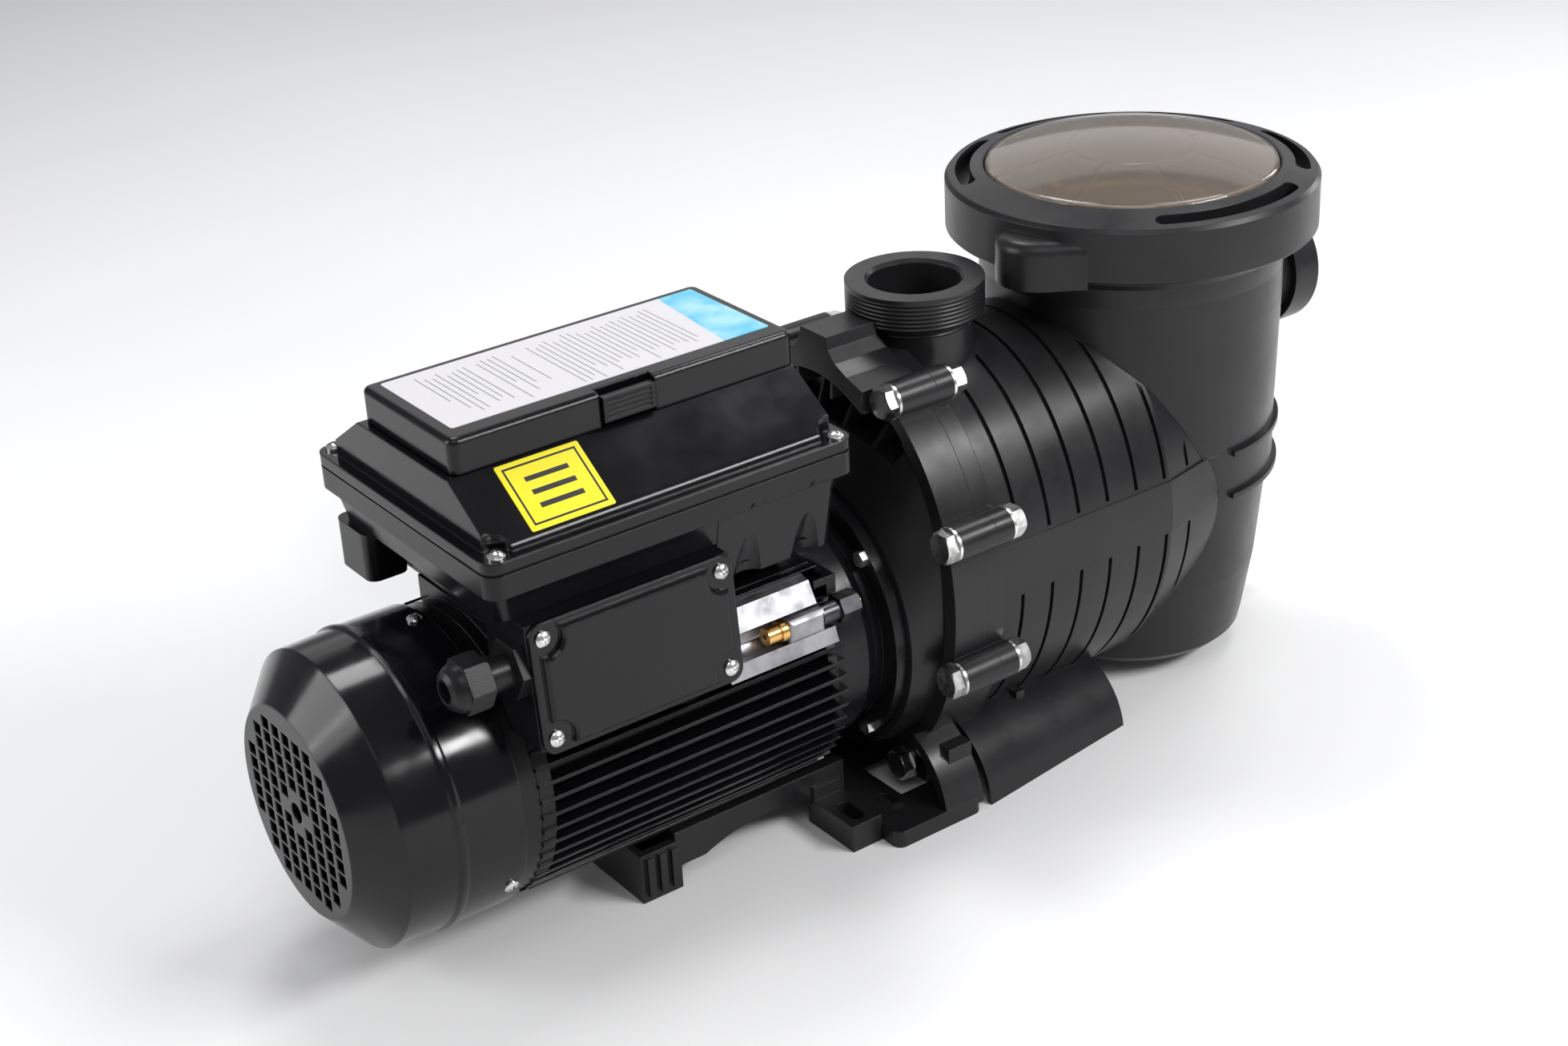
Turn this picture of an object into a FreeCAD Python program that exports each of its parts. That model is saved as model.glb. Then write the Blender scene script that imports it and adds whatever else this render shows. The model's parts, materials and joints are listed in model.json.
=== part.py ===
"""Pool pump: finned motor with a speed controller on top, volute and strainer in one housing.

Millimetres.  +Z is up, the motor shaft runs along X and the origin lies on the ground,
midway along the pump.  Each function makes one sub-part, and write_all() saves them.
"""
import FreeCAD
import Part
import math
import os

V = FreeCAD.Vector
X_AXIS = V(1, 0, 0)
Y_AXIS = V(0, 1, 0)
Z_AXIS = V(0, 0, 1)

# Heights and stations that the whole pump is built from
SHAFT_Z = 100.0            # motor shaft above the ground
WET_Z = 124.0              # centre of the oval wet end
POT_X = 218.0              # strainer pot axis
PORT_X = 58.5              # discharge port axis
SEAM_X = 24.5              # joint face between the seal plate and the housing
TOUCH_GAP = 0.4            # running clearance between bodies that move apart

# Motor
FRAME_BORE_R = 60.0
FRAME_R = 66.0
FIN_R = 79.0
FIN_THICKNESS = 2.0
FIN_COUNT = 56
FRAME_REAR_X = -243.0
FRAME_FRONT_X = -55.0
COVER_R = 80.0
COVER_WALL = 2.0
COVER_REAR_X = -335.8
COVER_FRONT_X = -253.2
GRILLE_R = 56.0
SHAFT_R = 9.5
CORE_SHAFT_R = 12.5
REAR_BEARING = (10.0, 23.5, -258.0, -244.0)
FRONT_BEARING = (12.5, 26.0, -48.0, -33.0)
STATOR_X = (-205.0, -105.0)
STATOR_BORE_R = 35.5
ROTOR_R = 35.0
STATOR_SLOTS = 24
MOTOR_FLANGE_R = 77.5
MOTOR_FLANGE_X = (-22.0, -14.5)
COVER_SCREW_X = -260.0

# Terminal box on the side of the motor, its face leaning out towards the ground
BOX_X = (-247.5, -132.5)
BOX_Z = (142.0, 207.0)
BOX_INNER_Y = -50.0
BOX_FACE_LOW_Y = -92.0
BOX_FACE_HIGH_Y = -87.0
BOX_WALL = 4.0
GLAND_Y = -76.0
GLAND_Z = 182.5
CABLE_R = 5.0

# Controller on top of the motor
CASE_X = (-262.0, -50.0)
CASE_HALF_Y = 86.0
CASE_SPLIT_Z = 236.0
ROOF_X = (-256.0, -56.0)
ROOF_EAVE_Y = 80.0
ROOF_EAVE_Z = 246.0
ROOF_TOP_Y = 44.0
ROOF_TOP_Z = 270.0
ROOF_WALL = 3.0
EAVE_ROUND = 5.5
CASE_SCREW_X = (-253.5, -58.5)
CASE_SCREW_Y = 80.0
LID_X = (-252.0, -55.0)
LID_Z = (270.6, 288.5)
HINGE_Y = 47.0
HINGE_Z = 276.5
KEYPAD_X = (-244.0, -63.0)
KEYPAD_HALF_Y = 35.0
KEYPAD_Z = 266.0
BUTTON_X = (-110.0, -90.0, -70.0 - 4.0)
BUTTON_Y = -16.0
BUTTON_R = 6.0

# Wet end: oval seal plate, housing flange and ribbed barrel
FLANGE_A = 98.0            # half width of the flange
FLANGE_B = 122.5           # half height of the flange
BARREL_A = 92.0
BARREL_B = 115.0
BARREL_WALL = 6.0
FLANGE_REAR_X = 2.0
FLANGE_FRONT_X = 36.0
BARREL_END_X = 165.0
PARTITION_X = (118.0, 124.0)
BOLT_OFFSETS = ((50.0, 111.0), (97.0, 45.0), (100.0, -34.0), (54.5, -106.5))
BOLT_R = 5.0
BOSS_R = 10.0
BOSS_X = (1.0, 36.0)
SPOT_FACE_R = 10.6
BOLT_FLATS = 16.0
HUB_R = 81.0
SEAL_BORE_R = 17.0
GROOVE_FIRST_X = 53.0
GROOVE_PITCH = 21.4
GROOVE_COUNT = 7
GROOVE_WIDTH = 2.6
GROOVE_DEPTH = 2.4
BAND_Z = (120.5, 150.0)
BAND_R = 85.2
NOSE_END_X = 232.0         # the nose narrows to here, inside the pot
NOSE_A = 78.0
NOSE_B = 93.5

# Strainer pot, basket, lid and lock ring
POT_TOP_Z = 283.0
POT_FLOOR_Z = 16.0
COLLAR_R = 92.0
RING_R = 106.0
RING_Z = (267.5, 298.5)
RING_CROWN_Z = 303.5
RING_OPENING_R = 83.7
RING_PLATE_Z = 292.5
LID_FLANGE_Z = (283.4, 291.8)
DOME_R = 83.1
DOME_BASE_Z = 304.0
DOME_TOP_Z = 316.0
DOME_WALL = 4.0
HUB_DISC_R = 35.0
LEDGE_Z = 258.0
LUG_ANGLE_DEG = 15.0
LUG_REACH = 121.0
LUG_Z = (264.0, 291.0)

# Ports: 50 mm solvent socket inside, union thread outside
SOCKET_R = 25.2
SOCKET_DEPTH = 22.0
PORT_COLLAR_R = 38.0
PORT_NECK_R = 31.0
WATERWAY_R = 23.0
DISCHARGE_Z = 275.0
SUCTION_Z = 214.0
SUCTION_X = 336.5

# Feet
FOOT_X = (-42.0, 17.0)
FOOT_HALF_Y = 100.0
FOOT_THICKNESS = 10.0
FOOT_SLOT_Y = 72.0
CRADLE_TOP_Z = 29.0
WING_END_X = 137.0
WING_WALL = 3.5
SADDLE_X = (-8.0, 18.0)
SADDLE_WALL = 6.0


def box(x0, x1, y0, y1, z0, z1):
    return Part.makeBox(x1 - x0, y1 - y0, z1 - z0, V(x0, y0, z0))


def rod_x(x0, x1, r, y=0.0, z=SHAFT_Z):
    return Part.makeCylinder(r, x1 - x0, V(x0, y, z), X_AXIS)


def rod_y(y0, y1, r, x, z):
    return Part.makeCylinder(r, y1 - y0, V(x, y0, z), Y_AXIS)


def rod_z(z0, z1, r, x=POT_X, y=0.0):
    return Part.makeCylinder(r, z1 - z0, V(x, y, z0), Z_AXIS)


def tube_x(x0, x1, outer, inner, y=0.0, z=SHAFT_Z):
    return rod_x(x0, x1, outer, y, z).cut(rod_x(x0, x1, inner, y, z))


def tube_z(z0, z1, outer, inner, x=POT_X, y=0.0):
    return rod_z(z0, z1, outer, x, y).cut(rod_z(z0, z1, inner, x, y))


def polygon(points):
    return Part.Face(Part.makePolygon(list(points) + [points[0]]))


def turned_x(profile, y=0.0, z=SHAFT_Z):
    """Solid of revolution about the line along X, from (x, radius) points."""
    face = polygon([V(x, y, z + r) for x, r in profile])
    return face.revolve(V(0, y, z), X_AXIS, 360)


def turned_z(profile, x=POT_X, y=0.0):
    """Solid of revolution about the line along Z, from (radius, z) points."""
    face = polygon([V(x + r, y, z) for r, z in profile])
    return face.revolve(V(x, y, 0), Z_AXIS, 360)


def hex_x(x0, x1, flats, y=0.0, z=SHAFT_Z):
    corner = flats / math.sqrt(3)
    points = []
    for i in range(6):
        a = math.radians(60 * i)
        points.append(V(x0, y + corner * math.cos(a), z + corner * math.sin(a)))
    prism = polygon(points).extrude(V(x1 - x0, 0, 0))
    return prism


def oval_wire(x, a, b, z=WET_Z):
    ellipse = Part.Ellipse(V(x, 0, z + b), V(x, a, z), V(x, 0, z))
    return Part.Wire(ellipse.toShape())


def oval_x(x0, x1, a, b, z=WET_Z):
    return Part.Face(oval_wire(x0, a, b, z)).extrude(V(x1 - x0, 0, 0))


def oval_ring(x0, x1, a, b, wall):
    return oval_x(x0, x1, a, b).cut(oval_x(x0, x1, a - wall, b - wall))


def oval_loft(x0, a0, b0, x1, a1, b1):
    return Part.makeLoft([oval_wire(x0, a0, b0), oval_wire(x1, a1, b1)], True)


def round_edges(shape, axis, radius):
    """Round every straight edge of the shape that runs along the axis."""
    chosen = []
    for edge in shape.Edges:
        if edge.Curve.TypeId != "Part::GeomLine":
            continue
        ends = edge.Vertexes[1].Point.sub(edge.Vertexes[0].Point)
        if abs(abs(ends.normalize().dot(axis)) - 1) < 1e-6:
            chosen.append(edge)
    return shape.makeFillet(radius, chosen)


def rounded_box(x0, x1, y0, y1, z0, z1, radius, axis=Z_AXIS):
    return round_edges(box(x0, x1, y0, y1, z0, z1), axis, radius)


def bevel(shape, on_edge, size):
    """Chamfer every edge whose two ends pass the on_edge test."""
    chosen = [edge for edge in shape.Edges if all(on_edge(v.Point) for v in edge.Vertexes)]
    return shape.makeChamfer(size, chosen)


def turn(shape, angle, centre=V(0, 0, 0), axis=Z_AXIS):
    copy = shape.copy()
    copy.rotate(centre, axis, angle)
    return copy


def moved(shape, x=0.0, y=0.0, z=0.0):
    copy = shape.copy()
    copy.translate(V(x, y, z))
    return copy


def joined(shapes):
    """One solid from shapes that touch or overlap."""
    result = shapes[0]
    if len(shapes) > 1:
        result = shapes[0].multiFuse(shapes[1:])
    return result.removeSplitter()


def without(shape, tools):
    return shape.cut(Part.makeCompound(tools)) if tools else shape


def group(shapes):
    """Separate solids that share one node."""
    return Part.makeCompound(shapes)


def around_shaft(shape, count, first=0.0):
    step = 360.0 / count
    return [turn(shape, first + i * step, V(0, 0, SHAFT_Z), X_AXIS) for i in range(count)]


def pan_screw_z(head_r, head_h, shank_r, shank_len):
    """Cross-recessed screw with its head's seat at the origin, pointing down."""
    dome = Part.makeSphere(head_r * 1.35, V(0, 0, head_h - head_r * 1.35))
    head = rod_z(0, head_h, head_r, 0, 0).common(dome)
    slot = box(-head_r * 0.6, head_r * 0.6, -head_r * 0.12, head_r * 0.12, head_h * 0.45, head_h + 1)
    head = head.cut(slot).cut(turn(slot, 90))
    return head.fuse(rod_z(-shank_len, 0.01, shank_r, 0, 0))


# ---------------------------------------------------------------- motor

def fan_cover():
    w = COVER_WALL
    inner_r = COVER_R - w
    shell = turned_x([
        (COVER_REAR_X, 0), (COVER_REAR_X, GRILLE_R), (-317, 78.5), (-291, 79.5), (-289.5, 81),
        (-287, 81), (-285.5, COVER_R), (COVER_FRONT_X, COVER_R), (COVER_FRONT_X, inner_r),
        (-316, 76.3), (COVER_REAR_X + w, GRILLE_R - 1), (COVER_REAR_X + w, 0)])
    slot_w, slot_h, pitch_y, pitch_z = 7.5, 6.8, 11.0, 8.3
    holes = [rod_x(COVER_REAR_X - 1, COVER_REAR_X + 3, 5.5)]
    for i in range(-4, 5):
        for j in range(-6, 7):
            y = i * pitch_y
            z = j * pitch_z
            far = math.hypot(abs(y) + slot_w / 2, abs(z) + slot_h / 2)
            if far < GRILLE_R - 4 and math.hypot(y, z) > 11:
                holes.append(box(COVER_REAR_X - 1, COVER_REAR_X + 3, y - slot_w / 2, y + slot_w / 2,
                                 SHAFT_Z + z - slot_h / 2, SHAFT_Z + z + slot_h / 2))
    hole = rod_z(SHAFT_Z, SHAFT_Z + COVER_R + 2, 2.2, COVER_SCREW_X, 0)
    return without(shell, holes + around_shaft(hole, 3))


def fan_cover_screws():
    screw = moved(pan_screw_z(4.0, 2.8, 1.9, 7.0), COVER_SCREW_X, 0, SHAFT_Z + COVER_R)
    return group(around_shaft(screw, 3))


def cooling_fan():
    hub = turned_x([(-290, 10.0), (-290, 16), (-268, 18), (-268, 26), (-265, 26), (-265, 10.0)])
    disc = tube_x(-268, -265.5, 66, 20)
    blade = box(-288, -267, -1.2, 1.2, SHAFT_Z + 16, SHAFT_Z + 66)
    return joined([hub, disc] + around_shaft(blade, 7))


def rear_end_shield():
    bore = REAR_BEARING[1]
    body = turned_x([
        (-261.5, 12), (-261.5, 29), (-250, 32), (-250, 70), (-266, 70), (-266, 77.3), (-243, 77.3),
        (-243, 66), (-243, FRAME_BORE_R), (-238, FRAME_BORE_R), (-238, 54), (-244, 50),
        (-244, bore), (-258, bore), (-258, 12)])
    hole = rod_z(SHAFT_Z + 60, SHAFT_Z + COVER_R, 1.9, COVER_SCREW_X, 0)
    return without(body, around_shaft(hole, 3))


def bearing(inner_r, outer_r, x0, x1):
    """Deep-groove ball bearing: two races with a shield sunk between them."""
    wall = (outer_r - inner_r) * 0.3
    inner = tube_x(x0, x1, inner_r + wall, inner_r)
    outer = tube_x(x0, x1, outer_r, outer_r - wall)
    shields = tube_x(x0 + 1.5, x1 - 1.5, outer_r - wall + 0.1, inner_r + wall - 0.1)
    return joined([inner, outer, shields])


def fin_section():
    """Outline of the frame: a round wall with thin fins on both flanks."""
    half = FIN_THICKNESS / 2
    points = []
    step = 360.0 / FIN_COUNT
    root = math.degrees(math.asin(half / FRAME_R))
    tip = math.degrees(math.asin(half / FIN_R))
    for i in range(FIN_COUNT):
        centre = (i + 0.5) * step
        flank = abs((centre + 90) % 180 - 90)
        corners = ((FRAME_R, -root), (FIN_R, -tip), (FIN_R, tip), (FRAME_R, root))
        if flank > 58:
            corners = ((FRAME_R, 0.0),)
        for r, offset in corners:
            a = math.radians(centre + offset)
            points.append(V(FRAME_REAR_X, r * math.cos(a), SHAFT_Z + r * math.sin(a)))
    return polygon(points)


def motor_frame():
    fins = fin_section().extrude(V(FRAME_FRONT_X - FRAME_REAR_X, 0, 0))
    ends = [tube_x(FRAME_REAR_X, FRAME_REAR_X + 8, 77.5, FRAME_R - 1),
            tube_x(FRAME_FRONT_X - 6, FRAME_FRONT_X, 70, FRAME_R - 1)]
    pads = [box(-240, -75, -50, 50, 38, 58),
            box(-236, -70, -40, 40, 150, 181),
            box(-130, -62, -64, -40, 128, 166),
            box(-71, -57, -73, -50, 148, 163)]
    solid = joined([fins] + ends + pads)
    bore = rod_x(FRAME_REAR_X, FRAME_FRONT_X, FRAME_BORE_R)
    clearances = [bore, terminal_box_envelope(), earth_rails(0.15), rod_x(-131, -55, 8.4, EARTH_Y, EARTH_Z)]
    return solid.cut(group(clearances)).removeSplitter()


def stator_slot(x0, x1, grow):
    """One winding slot of the stator, standing on the +Z side."""
    half_in = 1.6 - grow
    half_out = 3.0 - grow
    z0 = SHAFT_Z + STATOR_BORE_R + 2.0 + grow
    z1 = SHAFT_Z + 50.0 - grow
    face = polygon([V(x0, -half_in, z0), V(x0, half_in, z0), V(x0, half_out, z1), V(x0, -half_out, z1)])
    return face.extrude(V(x1 - x0, 0, 0))


def stator_core():
    core = tube_x(STATOR_X[0], STATOR_X[1], FRAME_BORE_R, STATOR_BORE_R)
    slot = stator_slot(STATOR_X[0] - 1, STATOR_X[1] + 1, 0.0)
    return without(core, around_shaft(slot, STATOR_SLOTS))


def stator_windings():
    """Copper: end turns at both ends, joined through every slot."""
    slot = stator_slot(STATOR_X[0] - 4, STATOR_X[1] + 4, 0.15)
    ends = [tube_x(STATOR_X[0] - 26, STATOR_X[0] - 2, 53, 38),
            tube_x(STATOR_X[1] + 2, STATOR_X[1] + 26, 53, 38)]
    return joined(ends + around_shaft(slot, STATOR_SLOTS))


def rotor_core():
    core = tube_x(STATOR_X[0], STATOR_X[1], ROTOR_R, CORE_SHAFT_R)
    rings = [tube_x(STATOR_X[0] - 8, STATOR_X[0], 33, 22), tube_x(STATOR_X[1], STATOR_X[1] + 8, 33, 22)]
    return joined([core] + rings)


def shaft():
    return turned_x([
        (-292, 0), (-292, 9), (-291, 10), (-244, 10), (-244, CORE_SHAFT_R), (-33, CORE_SHAFT_R),
        (-30, SHAFT_R), (68, SHAFT_R), (70, 7.5), (70, 0)])


def front_end_shield():
    bore = FRONT_BEARING[1]
    body = turned_x([
        (-60, 54), (-60, FRAME_BORE_R), (-55, FRAME_BORE_R), (-55, 68), (-50, 69),
        (-34, 69), (-28, 66), (-22, 66), (-22, MOTOR_FLANGE_R), (-14.5, MOTOR_FLANGE_R), (-14.5, 13.5),
        (-33, 13.5), (-33, bore), (-48, bore), (-48, 31), (-30, 33), (-26, 50), (-50, 54)])
    hole = rod_x(-23, -14, 2.6, 0, SHAFT_Z + 73)
    return without(body, around_shaft(hole, 4, 45))


def flange_screws():
    head = hex_x(-26.0, -22.0, 8.0, 0, SHAFT_Z + 73)
    shank = rod_x(-22.0, -6.0, 2.5, 0, SHAFT_Z + 73)
    return group(around_shaft(head.fuse(shank), 4, 45))


# ---------------------------------------------------------------- terminal box

def box_section(inset, low_inset):
    """Upright section of the box, with its face leaning."""
    z0 = BOX_Z[0] + low_inset
    z1 = BOX_Z[1] - low_inset
    return [V(0, BOX_INNER_Y - inset, z0), V(0, BOX_FACE_LOW_Y, z0), V(0, BOX_FACE_HIGH_Y, z1),
            V(0, BOX_INNER_Y - inset, z1)]


def terminal_box_envelope():
    solid = polygon(box_section(0, 0)).extrude(V(BOX_X[1] - BOX_X[0], 0, 0))
    return moved(solid, BOX_X[0])


def on_box_face(shape):
    """Put a shape made flat on the XZ plane, facing -Y, onto the leaning face."""
    rise = BOX_Z[1] - BOX_Z[0]
    lean = math.degrees(math.atan2(BOX_FACE_HIGH_Y - BOX_FACE_LOW_Y, rise))
    return moved(turn(shape, -lean, V(0, 0, 0), X_AXIS), 0, BOX_FACE_LOW_Y, BOX_Z[0])


BOX_SCREWS = ((BOX_X[0] + 7.0, 6.5), (BOX_X[1] - 7.0, 6.5), (BOX_X[0] + 7.0, 58.5), (BOX_X[1] - 7.0, 58.5))


def terminal_box():
    shell = terminal_box_envelope()
    hollow = box(BOX_X[0] + BOX_WALL, BOX_X[1] - BOX_WALL, -100, BOX_INNER_Y - 6, BOX_Z[0] + 5, BOX_Z[1] - 5)
    posts = []
    holes = []
    for x, z in BOX_SCREWS:
        posts.append(on_box_face(rod_y(0, 14, 4.5, x, z)))
        holes.append(on_box_face(rod_y(-1, 12, 1.9, x, z)))
    shell = shell.cut(hollow)
    shell = joined([shell] + [post.common(terminal_box_envelope()) for post in posts])
    barrel = rod_x(FRAME_REAR_X, FRAME_FRONT_X, FRAME_BORE_R + 0.001)
    rear_rim = rod_x(BOX_X[0] - 1, FRAME_REAR_X, 77.8)
    entry = rod_x(BOX_X[0] - 1, BOX_X[0] + BOX_WALL + 1, 9.0, GLAND_Y, GLAND_Z)
    return shell.cut(group([barrel, rear_rim, entry] + holes))


def terminal_box_gasket():
    w = BOX_X[1] - BOX_X[0]
    frame = box(BOX_X[0], BOX_X[1], -1.2, 0, 0, 65)
    frame = frame.cut(box(BOX_X[0] + 13, BOX_X[0] + w - 13, -2, 1, 4, 61))
    frame = frame.cut(box(BOX_X[0] + 4, BOX_X[0] + w - 4, -2, 1, 12, 53))
    holes = [rod_y(-2, 1, 2.2, x, z) for x, z in BOX_SCREWS]
    return on_box_face(without(frame, holes))


def terminal_box_cover():
    """Lid with a raised panel that steps in round each corner screw."""
    plate = rounded_box(BOX_X[0], BOX_X[1], -4.2, -1.2, -1.5, 66.5, 7, Y_AXIS)
    panel = box(BOX_X[0] + 5, BOX_X[1] - 5, -7.6, -4.2, 2, 63)
    panel = without(panel, [rod_y(-9, -4, 9.5, x, z) for x, z in BOX_SCREWS])
    panel = bevel(panel, lambda p: abs(p.y + 7.6) < 1e-6, 1.4)
    holes = [rod_y(-9, 0, 2.2, x, z) for x, z in BOX_SCREWS]
    return on_box_face(without(joined([plate, panel]), holes))


def terminal_box_screws():
    screws = []
    for x, z in BOX_SCREWS:
        screw = turn(pan_screw_z(4.2, 3.0, 1.9, 14.0), 90, V(0, 0, 0), X_AXIS)
        screws.append(on_box_face(moved(screw, x, -4.2, z)))
    return group(screws)


def gland_locknut():
    nut = hex_x(BOX_X[0] - 5.0, BOX_X[0], 27.0, GLAND_Y, GLAND_Z)
    return nut.cut(rod_x(BOX_X[0] - 6, BOX_X[0] + 1, 9.0, GLAND_Y, GLAND_Z))


def gland_body():
    x = BOX_X[0]
    return turned_x([
        (x + 6, 6.5), (x + 6, 9.0), (x - 16, 9.0), (x - 16, 10.0), (x - 18, 10.0), (x - 18, 9.0),
        (x - 26, 9.0), (x - 26, 6.5)], GLAND_Y, GLAND_Z)


def gland_seal():
    x = BOX_X[0]
    return turned_x([(x - 14, CABLE_R), (x - 14, 6.5), (x - 26, 6.5), (x - 26, 8.0), (x - 29, 8.0),
                     (x - 29, CABLE_R)], GLAND_Y, GLAND_Z)


def gland_cap_nut():
    x = BOX_X[0]
    grip = hex_x(x - 31, x - 18, 25.0, GLAND_Y, GLAND_Z)
    grip = grip.common(turned_x([(x - 18, 0), (x - 18, 13.8), (x - 20, 14.4), (x - 31, 14.4), (x - 31, 0)],
                                GLAND_Y, GLAND_Z))
    nose = turned_x([(x - 31, 0), (x - 31, 12.4), (x - 34, 11.6), (x - 37, 9.6), (x - 38.5, 7.0),
                     (x - 38.5, 0)], GLAND_Y, GLAND_Z)
    bore = turned_x([(x - 17, 0), (x - 17, 9.0), (x - 26, 9.0), (x - 26, 8.0), (x - 29, 8.0),
                     (x - 29, 5.6), (x - 39, 5.6), (x - 39, 0)], GLAND_Y, GLAND_Z)
    return joined([grip, nose]).cut(bore)


EARTH_Y = -76.0
EARTH_Z = 144.5


def earth_rails(grow):
    """Channel with two leaning rails, its open side facing away from the frame."""
    section = [V(0, -58, 126 - grow), V(0, -82.5, 129.5 - grow), V(0, -78 - grow, 140.5),
               V(0, -68, 140.5), V(0, -66, 150.5), V(0, -76.5, 152.5), V(0, -70, 163.5 + grow),
               V(0, -58, 166 + grow)]
    return moved(polygon(section).extrude(V(68 + grow, 0, 0)), -131)


def earth_bracket():
    upper_end = box(-72, -60, -90, -50, 146, 170)
    channel = rod_x(-132, -50, 8.0, EARTH_Y, EARTH_Z)
    return earth_rails(0).cut(group([upper_end, channel]))


def earth_clamp():
    """Clamp block with a rounded top, standing in the channel."""
    block = rounded_box(-93, -71, EARTH_Y - 6.5, EARTH_Y + 6.5, EARTH_Z - 6.5, EARTH_Z + 6.5, 2.5)
    block = block.common(rod_x(-94, -70, 7.8, EARTH_Y, EARTH_Z))
    return block.cut(rod_x(-94, -70, 2.5, EARTH_Y, EARTH_Z))


def earth_screw():
    head = tube_x(-105, -93, 4.6, 1.4, EARTH_Y, EARTH_Z)
    collar = tube_x(-97, -93, 5.6, 1.4, EARTH_Y, EARTH_Z)
    return joined([head, collar, rod_x(-101, -45, 2.5, EARTH_Y, EARTH_Z)])


def earth_nut():
    """Spacer sleeve and hexagon nut at the pump end of the earth screw."""
    sleeve = rod_x(-71, -60, 5.6, EARTH_Y, EARTH_Z)
    nut = hex_x(-60, -48, 14.0, EARTH_Y, EARTH_Z)
    nut = nut.common(turned_x([(-60, 0), (-60, 7.6), (-59, 8.2), (-49, 8.2), (-48, 7.4), (-48, 0)],
                              EARTH_Y, EARTH_Z))
    return joined([sleeve, nut]).cut(rod_x(-72, -47, 2.5, EARTH_Y, EARTH_Z))


# ---------------------------------------------------------------- controller

def tapered_block(x0, x1, y_half, z0, z1, spread, radius):
    """Block with rounded corners, wider at the top by spread on every side."""
    low = rounded_box(x0, x1, -y_half, y_half, z0, z0 + 1, radius).Faces
    bottom = [f for f in low if abs(f.CenterOfMass.z - z0) < 1e-6][0].OuterWire
    high = rounded_box(x0 - spread, x1 + spread, -y_half - spread, y_half + spread, z1, z1 + 1, radius).Faces
    top = [f for f in high if abs(f.CenterOfMass.z - z1) < 1e-6][0].OuterWire
    return Part.makeLoft([bottom, top], True, True)


def corner_posts(z0, z1, r):
    return [rod_z(z0, z1, r, x, s * CASE_SCREW_Y) for x in CASE_SCREW_X for s in (-1, 1)]


def leaning_case(x0, x1):
    """Deep end of the case: its long sides lean outward as they rise to the flange."""
    section = [V(x0, -72, 181), V(x0, -81, 225), V(x0, 81, 225), V(x0, 72, 181)]
    block = polygon(section).extrude(V(x1 - x0, 0, 0))
    upright = [edge for edge in block.Edges if abs(edge.CenterOfMass.x - x1) < 1e-6
               and edge.BoundBox.ZLength > 40]
    return block.makeFillet(6.0, upright)


def controller_housing():
    """Lower case: flange, tapered walls, and a deeper part where it clears the terminal box."""
    wall = tapered_block(-255, -57, 77, BOX_Z[1], 226, 4, 8)
    flange = rounded_box(CASE_X[0], CASE_X[1], -CASE_HALF_Y, CASE_HALF_Y, 224, CASE_SPLIT_Z, 8)
    deep = leaning_case(-131, -57.5)
    centre = box(-235, -131, -48, 60, 181, BOX_Z[1])
    leg = rounded_box(-259, -236, 46, 80, 181, BOX_Z[1], 6)
    body = joined([wall, flange, deep, centre, leg])
    scoops = [Part.makeCylinder(11, 70, V(x, -71, 161), V(0, -9.6, 24)) for x in (-111, -75)]
    saddle = rod_x(-136, -50, FIN_R + 0.3)
    hollow = rounded_box(-252, -60, -74, 74, 212, CASE_SPLIT_Z, 6)
    deep_hollow = box(-126, -63, -70, 70, 187, 213)
    ribs = [rod_z(212, CASE_SPLIT_Z, 6, x, s * 76) for x in CASE_SCREW_X for s in (-1, 1)]
    body = body.cut(group(scoops + [saddle, hollow, deep_hollow]))
    body = joined([body] + [rib.common(wall.fuse(flange)) for rib in ribs])
    return without(body, corner_posts(222, CASE_SPLIT_Z + 1, 1.9))


def controller_gasket():
    ring = rounded_box(CASE_X[0] + 1, CASE_X[1] - 1, -85, 85, CASE_SPLIT_Z, CASE_SPLIT_Z + 1, 7)
    ring = ring.cut(box(-247, -65, -70, 70, 230, 240))
    return without(ring, corner_posts(230, 240, 2.2))


def roof_section(inset):
    return [V(0, -ROOF_EAVE_Y + inset, CASE_SPLIT_Z + 1), V(0, -ROOF_EAVE_Y + inset, ROOF_EAVE_Z - inset / 2),
            V(0, -ROOF_TOP_Y + inset / 2, ROOF_TOP_Z - inset), V(0, ROOF_TOP_Y - inset / 2, ROOF_TOP_Z - inset),
            V(0, ROOF_EAVE_Y - inset, ROOF_EAVE_Z - inset / 2), V(0, ROOF_EAVE_Y - inset, CASE_SPLIT_Z + 1)]


def long_edge_fillet(shape, z, radius):
    """Round the edges along X that lie at height z."""
    chosen = []
    for edge in shape.Edges:
        if edge.BoundBox.XLength > 100 and abs(edge.CenterOfMass.z - z) < 1e-6:
            chosen.append(edge)
    return shape.makeFillet(radius, chosen)


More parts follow.
